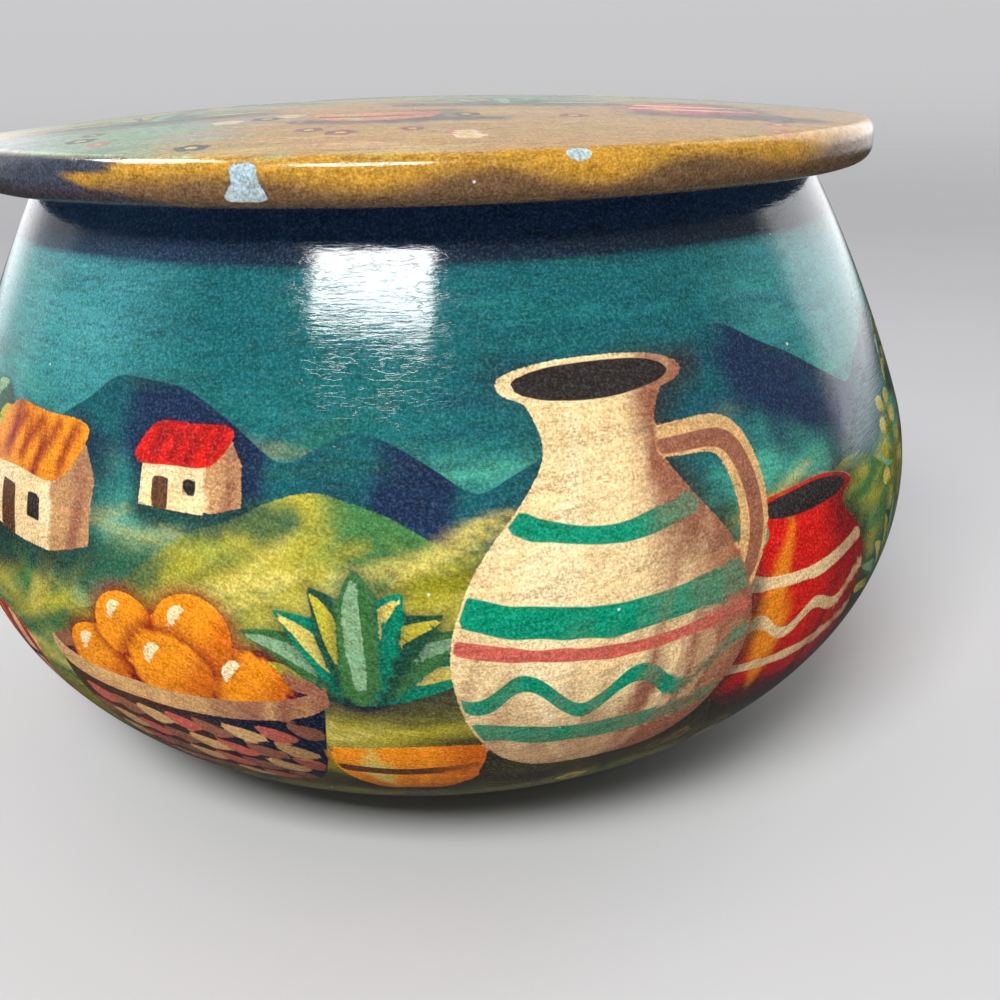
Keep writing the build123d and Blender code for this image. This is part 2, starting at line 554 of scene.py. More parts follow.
# body: its light, dark and gleam. marks: (kind, height as a share, half width, paint) of each band round it
def paintPot(canvas, a, b, shape, wide, tall, body, marks=(), level=close):
    light, dark, gleam = body
    spot = Spot(canvas, a, b, max(wide, tall) * 0.75 + 4, rise=tall / 2)
    x, y = spot.x, spot.up
    side, whole = potSide(shape, wide, tall)
    depth = spot.loop(whole)
    across = x / np.maximum(np.interp(y, side[:, 1], side[:, 0]), 0.5)
    hairs = spot.bristles(75, 0.9, 0.2, 2)
    lip = spot.oval(0, tall * mouthHeight, side[-1, 0], wide * 0.07) if shape != "bowl" else depth
    cast = spot.oval(wide * 0.22, 0, wide * 0.72, tall * 0.10 + 1)
    spot.shade(cast + hairs, (-1.2, 1.2), 0.85, "charcoal", level[0])
    rightSide = 0.25 + 0.75 * smooth(across, -0.4, 0.9)
    spot.shade(depth + hairs, (-2.4, 0.6), 0.8 * rightSide, "charcoal", level[0])
    dim = smooth(across + hairs * 0.55, 0.35, 1.25) + 0.6 * smooth(-y / tall + hairs * 0.3, -0.25, 0.1)
    shine = smooth(1 - np.abs(across + 0.45) * 2.0 - np.abs(y / tall - 0.5) + hairs * 0.3, 0.5, 0.95)
    spot.lay(level[0], np.maximum(depth, lip), blendOf(blendOf(light, dark, dim), gleam, shine * 0.9))
    for share, low, high, thick, strength in potStreaks:
        rise = np.linspace(low, high, 4) * tall
        swell = np.array((0.2, 1, 0.8, 0.1)) * thick
        path = np.c_[share * np.interp(rise, side[:, 1], side[:, 0]), rise, swell]
        spot.lay(level[1], spot.stroke(path), blendOf(light, dark, np.full(len(x), strength)))
    bend = np.clip(across, -1, 1)
    for kind, height, thick, name in marks:
        droop = height * tall - 0.07 * wide * (1 - bend ** 2)
        if kind == "wave":
            droop = droop + 0.045 * tall * np.sin(bend * 8.5)
        if kind == "zigzag":
            droop = droop + 0.08 * tall * (np.abs((across * 2.5) % 1 - 0.5) * 4 - 1)
        band = thick * (0.85 + 0.4 * spot.bristles(0, 0.5, 0.5, 4)) - np.abs(y - droop)
        spot.lay(level[1], np.minimum(band, depth - 0.2), blendOf(name, dark, dim * 0.45))
    if shape != "bowl":
        mouth = spot.oval(0, tall * mouthHeight, side[-1, 0] * 0.84, wide * 0.055)
        spot.lay(level[1], mouth, "charcoal")


def paintHandle(canvas, a, b, path, name, dark):
    spot = Spot(canvas, a, b, 16)
    spot.lay(close[0], spot.stroke(path), name)
    inner = [(x + 0.25, y - 0.4, w * 0.5) for x, y, w in path]
    spot.lay(close[1], spot.stroke(inner), dark)


def paintFruit(canvas, a, b, size, name, dark):
    spot = Spot(canvas, a, b, size + 3)
    x, y = spot.x, spot.up
    hairs = spot.bristles(40, 1.0, 0.4, 6)
    depth = spot.oval(0, 0, size, size * 0.93)
    spot.shade(depth, (-1.6, 0.2), 0.8, "deepRed", "trim")
    spot.lay("near", depth, blendOf(name, dark, smooth((x - y) / size + hairs, 0.6, 1.8)))
    gleam = ((-0.54, 0.1, 0.25), (-0.38, 0.44, 0.5), (-0.1, 0.6, 0.2))
    spot.lay("trim", spot.stroke([(u * size, v * size, w) for u, v, w in gleam]), "paleCream")


# fruits: (x, y, size) of each, from the middle of the mouth
def paintBasket(canvas, a, b, wide, tall, fruits, name, dark, columns):
    spot = Spot(canvas, a, b, wide * 0.75, rise=tall / 2)
    x, y = spot.x, spot.up
    half, sag, rows = wide / 2, wide * 0.09, 4
    across = np.clip(x / half, -1, 1)
    edge = tall - sag * np.sqrt(1 - across ** 2)
    hairs = spot.bristles(75, 0.9, 0.2, 2)
    cast = spot.oval(wide * 0.12, 0, wide * 0.66, tall * 0.16)
    spot.shade(cast + hairs, (-1.2, 1.2), 0.85, "charcoal", "front")
    spot.lay("near", spot.oval(0, tall, half, sag), "night")
    backRim = 0.8 - np.abs(y - (2 * tall - edge))
    spot.lay("trim", np.minimum(backRim, half - np.abs(x)), "brownShade")
    for fx, fy, size in fruits:
        paintFruit(canvas, a + math.degrees(fx / bowl["bellyRadius"]), b + tall + fy, size, name, dark)
    body = np.minimum(spot.loop(potSide("basket", wide, tall)[1]), edge - y)
    dim = smooth(across + hairs * 0.5, -0.3, 1.0)
    spot.lay("front", body, blendOf(tint("umber") * 0.7, "night", dim))
    dim = smooth(across, 0.2, 1.3)
    for row in range(rows):
        for column in range(columns):
            share = (column + 0.5 * (row % 2) + 0.25) / columns * 2 - 1
            cx = share * wide * (0.37 + 0.1 * row / rows)
            cy = (row + 0.4) * tall / rows * 0.84 - sag * math.sqrt(1 - share ** 2) * 0.8
            reach = wide / columns * 0.46
            path = [(cx - reach, cy + 0.9, 0.3), (cx, cy - 0.1, 0.95), (cx + reach, cy - 0.3, 0.3)]
            strand = np.minimum(spot.stroke(path), body - 0.1)
            colour = tint(("salmon", "brownShade", "sand")[(row * 2 + column) % 3])
            spot.lay("bands", strand, blendOf(colour * (0.8 + 0.3 * row / rows), "umber", dim))
    frontRim = np.minimum(1.1 - np.abs(y - edge), wide * 0.52 - np.abs(x))
    spot.lay("bands", frontRim, blendOf("sand", "brownShade", smooth(across + hairs, 0.2, 1.6)))


def paintCottage(canvas, a, b, size, roof):
    spot = Spot(canvas, a, b, 14, 0, size)
    x, y = spot.x, spot.up
    hairs = spot.bristles(80, 1.0, 0.25, 8)
    front = spot.loop(np.array([(-6.5, 0), (2.2, -0.6), (2.0, 5.4), (-6.3, 5.6)]))
    side = spot.loop(np.array([(2.2, -0.6), (6.6, 0.6), (6.4, 5.2), (4.6, 8.3), (2.0, 5.4)]))
    spot.shade(spot.oval(2.5, -0.4, 10, 2.0) + hairs, (-1.0, 1.0), 0.8, "pineGreen", "near")
    spot.shade(np.maximum(front, side) + hairs, (-2.2, 0.4), 0.6, "night", "near")
    spot.lay("near", side, blendOf("sand", "brownShade", hairs * 1.2))
    spot.lay("near", front, blendOf("paleCream", "cream", hairs * 1.4 + smooth(2 - y, 0, 3)))
    slope = [(-7.6, 5.0), (-2.5, 4.7), (2.6, 4.8), (5.1, 8.8), (0, 9.3), (-4.8, 9.2)]
    worn = smooth(hairs - y * 0.04, 0.1, 0.8)
    spot.lay("trim", spot.loop(curved(slope, True)), blendOf(roof, "deepRed", worn))
    for k in range(4):
        path = [(-5.2 + 2.5 * k, 5.7, 0.35), (-2.9 + 2.2 * k, 8.6, 0.5)]
        spot.shade(spot.stroke(path), (-0.3, 0.3), 0.8, "deepRed", "front")
    openings = (("umber", -4.8, -2.6, -0.2, 3.4), ("charcoal", -0.8, 0.9, 1.5, 3.3))  # a door and a window
    for name, left, right, low, high in openings:
        corners = np.array([(left, low), (right, low - 0.1), (right - 0.1, high), (left, high)])
        spot.lay("trim", spot.loop(corners), name)


def paintAgave(canvas, a, b, size, bloom):
    spot = Spot(canvas, a, b, 17, 0, size)
    spot.shade(spot.oval(0.6, 0, 9, 1.8) + spot.bristles(5), (-1.0, 1.0), 0.8, "night", "near")
    if bloom:
        paintBloom(spot)
    leaves = 9
    for k in sorted(range(leaves), key=lambda k: -abs(k - leaves // 2)):  # the middle one last
        fan = math.radians((k + 0.5) / leaves * 164 - 82)
        long = 10.0 - 2.0 * abs(math.sin(k * 2.3))
        out, up = math.sin(fan), math.cos(fan)
        middle, end = out * long * 0.5, up * long * 0.62
        leaf = [(out * 0.8, 0.4, 1.0), (middle, end, 1.25), (out * long * 1.06, up * long * 0.9, 0.1)]
        vein = [(out * 1.2, 1.0, 0.4), (middle - 0.35, end, 0.55), (out * long, up * long * 0.85, 0.15)]
        blade = spot.stroke(leaf)
        spot.shade(blade, (-0.8, 0.2), 0.5, "night", "front")
        spot.lay("near", blade, tint(("pineGreen", "leaf", "stripeGreen")[k % 3]) * 0.8)
        spot.lay("trim", spot.stroke(vein), ("yellowOlive", "sage", "straw")[k % 3])


def paintBloom(spot):  # an agave's tall stalk, with buds on short arms
    stalk = spot.stroke([(0, 3, 0.55), (0.4, 9, 0.4), (0.1, 15.5, 0.3)])
    spot.shade(stalk, (-1.0, 0.2), 0.7, "night", "near")
    spot.lay("near", stalk, "moss")
    for k in range(4):
        for way in (-1, 1):
            tip = 0.3 + way * (2.9 - 0.5 * k)
            arm = [(0.3, 9.0 + 1.9 * k, 0.2), (tip, 10.2 + 1.8 * k, 0.5)]
            spot.lay("near", spot.stroke(arm), "moss")
            bud = spot.oval(tip, 10.4 + 1.8 * k, 1.0, 0.65)
            spot.lay("near", bud, ("straw", "yellowOlive")[k % 2])


def paintTree(canvas, a, b, size, seed):
    spot = Spot(canvas, a, b, 16, 0, size)
    x, y = spot.x, spot.up
    spot.shade(spot.oval(1.2, 0, 5, 1.3), (-1.0, 1.0), 0.8, "night", "near")
    spot.lay("near", spot.stroke([(0, -0.3, 0.8), (0.3, 5, 0.6), (-0.1, 9, 0.4)]), "umber")
    crown = [(-2.4, 6.0), (2.5, 6.2), (0.2, 6.8), (-1.7, 8.6), (1.9, 9.0), (0.1, 10.8)]
    for k, (cx, cy) in enumerate(crown):
        cx, cy = cx + 0.4 * math.sin(seed + 2.1 * k), cy + 0.4 * math.sin(seed * 2 + k)
        clump = spot.oval(cx, cy, 2.3, 1.9)
        spot.shade(clump, (-0.9, 0.2), 0.8, "night", "trim")
        spot.lay("near", clump, blendOf("pineGreen", "leaf", smooth(y - x - cy + cx, 0, 2.4)))
    for k, (cx, cy) in enumerate(crown):
        light = [(cx - 1.6, cy + 0.1, 0.3), (cx - 0.9, cy + 1.1, 0.55), (cx + 0.4, cy + 1.4, 0.25)]
        spot.lay("trim", spot.stroke(light), ("yellowOlive", "sage")[k % 2])


def paintCloth(canvas, a, b, wide, tall, base, stripe):  # a folded blanket with woven stripes
    spot = Spot(canvas, a, b, wide * 0.8 + 2, rise=tall / 2)
    x, y = spot.x, spot.up
    half = wide / 2
    corners = [(-half, 0.4), (0, -0.5), (half, 0.3), (half * 1.06, tall * 0.5), (half * 0.94, tall),
               (0, tall * 1.06), (-half * 0.92, tall * 0.97), (-half * 1.08, tall * 0.5)]
    depth = spot.loop(curved(corners, True))
    hairs = spot.bristles(5, 0.9, 0.2, 9)
    spot.shade(spot.oval(2, 0, wide * 0.62, 2.2) + hairs, (-1.2, 1.0), 0.85, "charcoal", "front")
    dim = smooth(hairs + 0.6 - y / tall, 0.3, 1.2)
    spot.lay("front", depth, blendOf(*base, dim))
    for k in range(4):
        cx = (k - 1.5) * wide * 0.25
        path = [(cx, 0.2, 0.9), (cx + 0.6, tall * 0.5, 1.15), (cx - 0.3, tall, 0.8)]
        within = np.minimum(spot.stroke(path), depth - 0.2)
        spot.lay("bands", within, blendOf(stripe[k % len(stripe)], base[1], dim * 0.4))
    for k in (1, 2):
        fold = [(-half, tall * k / 3, 0.3), (0, tall * k / 3 - 0.6, 0.5), (half, tall * k / 3, 0.3)]
        spot.lay("marks", np.minimum(spot.stroke(fold), depth), "charcoal")


def paintTuft(canvas, a, b, size):
    spot = Spot(canvas, a, b, 6, 0, size)
    for k, name in enumerate(("moss", "pineGreen", "leaf", "moss")):
        lean = (k - 1.5) * 0.9 + rng.normal(0, 0.25)
        tip = (lean * 1.4, 4.2 - abs(k - 1.5) * 0.5, 0.12)
        spot.lay("near", spot.stroke([(0.4 * (k - 1.5), 0, 0.5), (lean * 0.6, 2.0, 0.5), tip]), name)


def paintFlowers(canvas, count, spread, names):
    petals = 5
    for k in range(count):
        a, b = (rng.uniform(*limits) for limits in spread)
        spot = Spot(canvas, a, b, 4, 0, rng.uniform(0.6, 0.9))
        name = names[k % len(names)]
        for petal in range(petals):
            turned = 2 * math.pi * petal / petals + a
            spot.lay("near", spot.oval(math.cos(turned), math.sin(turned), 0.75, 0.75), name)
        spot.lay("trim", spot.oval(0, 0, 0.6, 0.6), "straw" if name != "straw" else "deepOrange")


def paintVillage(canvas, trees, cottages, agaves):
    for seed, tree in enumerate(trees):
        paintTree(canvas, *tree, seed)
    for cottage in cottages:
        paintCottage(canvas, *cottage)
    for agave in agaves:
        paintAgave(canvas, *agave)


ridgeSoft = 1.3  # how sharply two peaks meet
ridgeDrop = 16


def ridgeLine(place, peaks):  # the height of a range at each place, from (place, height, half width) peaks
    height = np.full(place.shape, -outOfReach)
    for centre, top, half in peaks:
        away = np.abs((place - centre + 180) % 360 - 180) / half
        height = np.logaddexp(height, ridgeSoft * (top - ridgeDrop * away * away / (away + 0.35)))
    return height / ridgeSoft


def paintRange(canvas, coat, place, up, peaks, light, dark, fade, seed):  # hills, soft at the foot
    around = np.radians(place)
    east, north = np.sin(around), np.cos(around)  # no seam where the places meet
    ridge = ridgeLine(place, peaks) + 1.2 * (cloudy(east * 12, north * 12, seed) - 0.5)
    drift = 9 * (cloudy(east * 9 + 3, north * 9 + up / 6, seed + 2) - 0.5)
    slope = ridgeLine(place + drift + 1, peaks) - ridgeLine(place + drift - 1, peaks)
    hairs = cloudy(east * 20 + up * 0.3, north * 20 + up * 0.3, seed + 1)
    colour = blendOf(dark, light, smooth(slope, -0.8, 0.8) * 0.8 + hairs * 0.5 - 0.25)
    colour = blendOf(colour, canvas.ground, smooth(ridge - up + 3 * hairs, *fade))
    held = canvas.coats[coat]
    held[:, :3] = colour
    held[:, 3] = np.clip((ridge - up) * 0.8, -Canvas.deepest, Canvas.deepest)


# Varnished paint, and the bare wood under it. A scale is in cells a millimetre, alone or as (x, y, flow)
varnish = {
    "fleck": 4.4,  # fine specks
    "wash": 0.22,  # broad clouds
    "blotch": 1.3,
    "patch": 0.5,  # where the crackle shows
    "patchEdge": (0.30, 0.60),
    "flecky": 1.9,  # how strongly each kind shows in the colour
    "streaky": 0.75,
    "bristly": 0.5,
    "washy": 0.2,
    "warming": 0.5,  # what is darker is browner
    # painted glints: pale specks added into the colour, standing for small reflections off the varnish
    "paintedGlintShare": 0.45,
    "paintedGlint": (0.34, 0.42, 0.44, 1),
    "ragged": 0.14,  # how far noise moves a shape's edge, and how soft it is, in millimetres
    "edge": 0.06,
    "crackWide": 0.030,
    "dustColour": (0.70, 0.74, 0.73, 1),
    "dustCell": 0.5,
    "dustFrom": 0.82,  # the share of cells without a speck
    "dustBig": 0.40,
    "density": 1.5,  # index of refraction
}
bowlFinish = {
    **varnish,
    "grain": (0.5, 0.5, 3.2),
    "bristle": (0.10, 0.10, 0.9),
    "crack": (0.34, 0.34, 1.35),
    "crackDark": 0.28,
    "crackDeep": 0.0028,  # millimetres, as are the next three
    "grainHigh": 0.014,
    "waver": 0.035,
    "thick": {"front": 0.01, "bands": 0.01, "near": 0.01},
    "blotchy": 0.25,
    "rough": 0.08,
}
lidFinish = {
    **varnish,
    "grain": (0.4, 1.1, 2.4),
    "bristle": (0.10, 0.6, 0.9),
    "crack": (0.5, 0.9, 1.3),
    "crackDark": 0.35,
    "crackDeep": 0.006,
    "grainHigh": 0.012,
    "waver": 0.05,
    "thick": {"front": 0.01, "near": 0.01, "marks": -0.06},  # a chip lies deeper than the paint
    "blotchy": 0.9,
    "rough": 0.14,
}
turnedWood = {
    "dark": (0.50, 0.29, 0.125, 1),
    "light": (0.66, 0.43, 0.21, 1),
    "pore": (0.22, 0.11, 0.045, 1),
    "fibre": (0.06, 1.6, 1.6),
    "bend": (0.02, 0.10, 0.10),
    "pores": (0.5, 6.0, 6.0),
    "poreEdge": (0.60, 0.72),
    "ringAcross": 0.16,  # growth rings
    "ringUp": 0.35,
    "ringBend": 7.0,
    "toolAcross": 6.0,  # rings that the turning tool left
    "toolUp": 7.0,
    "toolDeep": 0.006,  # millimetres, as are the next two
    "poreDeep": -0.02,
    "fibreHigh": 0.01,
    "rough": 0.34,
}


def paintedFinish(name, look):
    material, recipe = newMaterial(name)
    place = recipe.place()
    x, y = recipe.split(place)[:2]
    flow = recipe.node("Attribute", {"attribute_name": "flow"}, out=2)
    turned = recipe.node("CombineXYZ", {}, {0: x, 1: y, 2: flow})  # the way the brush went
    grain = recipe.noise(turned, look["grain"], 3.0, 0.6) - 0.5
    bristle = recipe.noise(turned, look["bristle"], 2.0, 0.6) - 0.5
    fine = recipe.noise(place, look["fleck"], 2.0, 0.7) - 0.5
    wash = recipe.noise(place, look["wash"], 2.0) - 0.5
    blotch = recipe.noise(place, look["blotch"], 3.0, 0.7) - 0.5
    crackle = recipe.noise(turned, look["crack"], 3.0, 0.6) - 0.5
    patchy = recipe.noise(place, look["patch"], 1.0).step(*look["patchEdge"])
    cracks = (1 - crackle.math("ABSOLUTE").step(0.0, look["crackWide"])) * patchy
    colour, cover = recipe.coat("ground")[0], 0
    ragged = (fine + grain) * look["ragged"]
    for coat in coatNames:
        paint, depth = recipe.coat(coat)
        inside = (depth + ragged).step(-look["edge"], look["edge"])
        colour = recipe.mix(colour, paint, inside)
        if coat in look["thick"]:
            cover = inside * look["thick"][coat] + cover
    tone = 1 + grain * look["streaky"] + fine * look["flecky"] + wash * look["washy"]
    tone = (tone + blotch * look["blotchy"]) * (1 - cracks * look["crackDark"])
    tone = tone + bristle * look["bristly"]
    warm = (bristle * look["warming"]).most(-0.03) + (1 - tone).most(0.0) * 0.5
    channels = {0: tone * (warm * 0.5 + 1), 1: tone * (1 - warm * 0.15), 2: tone * (1 - warm)}
    colour = recipe.mix(colour, recipe.node("CombineColor", {}, channels), 1.0, "MULTIPLY")
    # painted glints: pale specks added where the fine speckle is high
    colour = recipe.mix(colour, look["paintedGlint"], fine.most(0.0) * look["paintedGlintShare"], "ADD")
    cell = recipe.node("TexVoronoi", {}, {"Vector": place, "Scale": look["dustCell"]})
    centre = Wire(recipe, cell.socket.node.outputs["Position"])
    picked = recipe.node("TexWhiteNoise", {"noise_dimensions": "3D"}, {0: centre})
    dust = (cell + fine * 0.06) < (picked - look["dustFrom"]) * look["dustBig"]
    colour = recipe.mix(colour, look["dustColour"], dust * 0.8)
    rough = wash * 0.10 + fine * 0.06 + dust * 0.4 + cracks * 0.15 + look["rough"]
    relief = cover + grain * look["grainHigh"] + wash * look["waver"] - cracks * look["crackDeep"]
    sockets = {"Base Color": colour, "Roughness": rough, "IOR": look["density"]}
    recipe.surface({**sockets, "Normal": recipe.bump(relief)})
    return material


def woodFinish(name, look):
    material, recipe = newMaterial(name)
    place = recipe.place()
    x, y, z = recipe.split(place)
    fibre = recipe.noise(place, look["fibre"], 4.0, 0.6)
    bend = recipe.noise(place, look["bend"], 2.0)
    pores = recipe.noise(place, look["pores"], 1.0)
    rings = (y * look["ringAcross"] + z * look["ringUp"] + bend * look["ringBend"]) * 2.0
    rings = rings.math("SINE") * 0.5 + 0.5
    colour = recipe.mix(look["dark"], look["light"], rings * 0.6 + fibre * 0.5)
    colour = recipe.mix(colour, look["pore"], pores.step(*look["poreEdge"]) * 0.55)
    radius = (x * x + y * y).math("SQRT")
    tool = (radius * look["toolAcross"] + z * look["toolUp"]).math("SINE") * (0.4 + 0.6 * bend)
    relief = tool * look["toolDeep"] + pores * look["poreDeep"] + fibre * look["fibreHigh"]
    rough = fibre * 0.2 + look["rough"]
    recipe.surface({"Base Color": colour, "Roughness": rough, "Normal": recipe.bump(relief)})
    return material


# Bowl: the same half section as its solid, finely meshed, with the outside painted
solidLow, solidHigh = (np.array(corner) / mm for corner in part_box("bowl"))
bowl = {
    "bellyRadius": (solidHigh[0] - solidLow[0]) / 2,
    "bellyHeight": 28.5,
    "bellyArc": 24.9,
    "shoulderTurn": 17.8,
    "undersideTurn": 34.0,
    "neckRadius": 39.2,
    "height": solidHigh[2],
    "footRadius": 27.0,
    "footHeight": 1.3,
    "footEdge": 0.4,
    "footRing": 6.5,
    "footHollow": 0.8,
    "lipRound": 0.5,
    "wall": 5.2,
    "floor": 6.5,
    "floorRadius": 22.0,
    "mouthRadius": 34.6,
    "mouthDepth": 7.0,
    "mouthEdge": 0.4,
    "around": 600,  # vertices round the bowl
    "fine": 0.54,  # spacing of the painted rings
    "finest": 0.25,  # at the lip
    "coarse": 5.0,  # and of the bare ones
}


def bellyPoint(radius, degrees):
    centre = bowl["bellyRadius"] - bowl["bellyArc"]
    angle = math.radians(degrees)
    return centre + radius * math.cos(angle), bowl["bellyHeight"] + radius * math.sin(angle)


def bowlOutline():
    b = bowl
    coarse, fine = b["coarse"], b["fine"]
    inner, outer = b["bellyArc"] - b["wall"], b["bellyArc"]
    mouth, neck, foot = b["mouthRadius"], b["neckRadius"], b["footRadius"]
    top, lip, ring, hollow = b["height"], b["lipRound"], foot - b["footRing"], b["footHollow"]
    shoulder, under = math.radians(b["shoulderTurn"]), math.radians(b["undersideTurn"])
    upNeck = np.array((-math.sin(shoulder), math.cos(shoulder)))
    downBelly = np.array((-math.sin(under), -math.cos(under)))
    side = Outline((0.0, b["floor"]))
    side.line((b["floorRadius"], b["floor"]), bare)
    side.arcBack(bellyPoint(inner, -b["undersideTurn"]), downBelly, bare, coarse)
    side.arc(bellyPoint(inner, b["shoulderTurn"]), -downBelly, bare, coarse)
    side.arc((mouth, top - b["mouthDepth"]), upNeck, bare, coarse)
    side.corners(((mouth, top - b["mouthEdge"]), (mouth + b["mouthEdge"], top), (neck - lip, top)))
    side.arc((neck, top - lip), (1, 0), painted, b["finest"])
    side.arcBack(bellyPoint(outer, b["shoulderTurn"]), upNeck, painted, fine)
    side.arc(bellyPoint(outer, -b["undersideTurn"]), -upNeck, painted, fine)
    side.arc((foot, b["footHeight"]), downBelly, painted, fine)
    side.line((foot, b["footEdge"]), painted, fine)
    side.corners(((foot - b["footEdge"], 0.0), (ring, 0.0), (ring, hollow), (0.0, hollow)))
    return side


# The bowl's painting: places are degrees round from the front, heights are millimetres up its outside
allRound = (-180, 180)
farPeaks = [(-27, 58, 24), (-5, 54, 20), (33, 60, 28), (66, 57, 24), (101, 60, 32), (140, 56, 24),
            (172, 62, 32), (-150, 56, 24), (-116, 61, 30), (-78, 56, 24)]
nearPeaks = [(-54, 46, 26), (-9, 50, 25), (15, 48, 24), (50, 46, 28), (84, 50, 32), (124, 46, 28),
             (160, 49, 32), (-160, 45, 28), (-122, 49, 32), (-88, 44, 24)]
cottages = [(-41, 43, 1.15, "orange"), (-21, 48, 0.7, "red"), (88, 44, 1.3, "orange"), (107, 48, 0.8, "red"),
            (-110, 44, 1.15, "red"), (-132, 48, 0.8, "orange"), (179, 49, 0.75, "orange")]
trees = [(-52, 40, 1.2), (72, 44, 1.0), (119, 42, 1.3), (-79, 43, 1.0), (-122, 43, 0.9), (146, 45, 0.9),
         (-146, 45, 0.8)]
agaves = [(-5, 33, 1.3, False), (63, 30, 1.2, True), (131, 27, 1.3, False), (-152, 28, 1.5, True),
          (-68, 27, 1.2, False)]
creamClay = ("cream", "brownShade", "paleCream")
redClay = ("red", "deepRed", "orange")
orangeClay = ("orange", "deepOrange", "straw")
darkClay = ("umber", "night", "brownShade")
green, pale, warm = "stripeGreen", "cream", "salmon"
band = {
    "edge": (66.4, 67.1),  # where the painted shade round the neck, for the lid's shadow and its underside's reflection, starts and is whole
    "lighter": (67.5, 70),
    "left": -55,  # degrees, where it is lighter too
}
bottomShade = 24  # height under which painted shade darkens the painting towards the foot
bottomSoft = 15


def paintLand(canvas, place, along):  # sky, mist, hills and grass, all the way round
    around = np.radians(place)
    east, north = np.sin(around), np.cos(around)
    patch = cloudy(east * 2.2 + 5, north * 2.2 + along / 24, 11)
    streak = cloudy(east * 9, north * 9 + along * 0.9, 12)
    glow = smooth(-np.cos(3 * around), -0.6, 0.9)
    canvas.wash("teal", (
        ("lagoon", smooth(-np.cos(3 * around), 0.0, 1.0) * 0.7),
        ("morning", smooth(np.cos(3 * around + 2.88), -0.3, 0.7) * 0.65),
        ("lagoon", smooth(58 - along + 8 * patch, 0, 16) * (0.5 + 0.5 * glow)),
        ("mint", smooth(54 - along + 6 * streak, 0, 14) * (0.2 + 0.8 * glow)),
        ("yellowOlive", smooth(42 - along + 8 * patch, 0, 9) * (0.4 + 0.6 * streak)),
        ("olive", smooth(31 - along + 6 * streak, 0, 9)),
    ))
    dabs(canvas, 150, (allRound, (50, 67)), (12, 0.9), (0, 4), 0.4, ("teal", "lagoon", "teal", "navy"))
    dabs(canvas, 90, (allRound, (40, 54)), (11, 1.3), (4, 9), 0.4, ("mint", "lagoon", "straw"))


def paintHills(canvas, place, along):
    paintRange(canvas, "far", place, along, farPeaks, "teal", "navy", (6, 14), 21)
    names = ("teal", "navy", "navy", "pineGreen")
    dabs(canvas, 120, (allRound, (44, 58)), (9, 0.9), (0, 28), 0.45, names, "hills")
    paintRange(canvas, "hills", place, along, nearPeaks, "yellowOlive", "leaf", (5, 13), 31)
    names = ("yellowOlive", "leaf", "straw", "pineGreen")
    dabs(canvas, 360, (allRound, (26, 46)), (10, 1.1), (18, 20), 0.75, names, "near")
    names = ("olive", "moss", "yellowOlive", "pineGreen")
    dabs(canvas, 300, (allRound, (4, 30)), (10, 1.0), (3, 9), 0.7, names, "near")
    names = ("yellowOlive", "olive", "yellowOlive", "straw")
    dabs(canvas, 70, ((-17, 7), (27, 46)), (9, 1.3), (22, 12), 0.9, names, "near")  # the sunny front hill


def paintBowl(canvas, place, along):
    paintLand(canvas, place, along)
    paintHills(canvas, place, along)
    paintVillage(canvas, trees, cottages, agaves)
    for k in range(60):
        paintTuft(canvas, rng.uniform(*allRound), rng.uniform(12, 27), rng.uniform(0.7, 1.1))
    paintFlowers(canvas, 44, (allRound, (16, 32)), ("salmon", "cream", "red", "straw"))
    paintFrontWares(canvas)
    paintSideWares(canvas)
    # painted shade: darker towards the foot, where the belly shades its own underside
    canvas.glaze(smooth(bottomShade - along, 0, bottomSoft) * 0.7, tint("charcoal") * 0.8)
    # Painted shade: a dark band under the lid for its shadow and the reflection of its underside, its paint
    # lighter towards the top and to the left
    left = smooth(np.cos(np.radians(place - band["left"])), 0.7, 1.0)
    colour = tint("night") * (1.2 + 1.9 * smooth(along, *band["lighter"]) + 1.4 * left)[:, None]
    canvas.glaze(smooth(along, *band["edge"]) * 0.94, colour)


def paintFrontWares(canvas):
    heap = [(-7.6, 0.8, 3.4), (7.4, 0.6, 3.5), (-3.4, 4.6, 3.3), (3.2, 5.0, 3.6), (0.2, 0.9, 4.0)]
    paintBasket(canvas, -24.5, 20, 27, 13.0, heap, "orange", "deepOrange", 8)
    marks = [("ring", 0.72, 0.6, pale), ("wave", 0.50, 0.6, pale), ("ring", 0.30, 0.6, pale)]
    paintPot(canvas, 41, 25, "round", 21, 20, redClay, marks, far)
    handle = [(3.5, 7.0, 1.2), (11.0, 6.4, 1.5), (13.4, -0.5, 1.6), (10.4, -8.0, 1.2)]
    paintHandle(canvas, 18, 45, handle, "sand", "brownShade")
    marks = [("ring", 0.70, 0.8, green), ("ring", 0.50, 1.3, green), ("ring", 0.42, 0.6, warm),
             ("wave", 0.30, 0.8, green), ("ring", 0.17, 1.1, green)]
    paintPot(canvas, 18, 23, "jug", 27, 35, creamClay, marks)
    paintPot(canvas, -1.5, 18.5, "bowl", 13, 8.5, orangeClay, [("ring", 0.60, 0.6, "umber")])
    paintCloth(canvas, -57, 21, 16, 12, ("red", "deepRed"), (pale, green, "orange"))


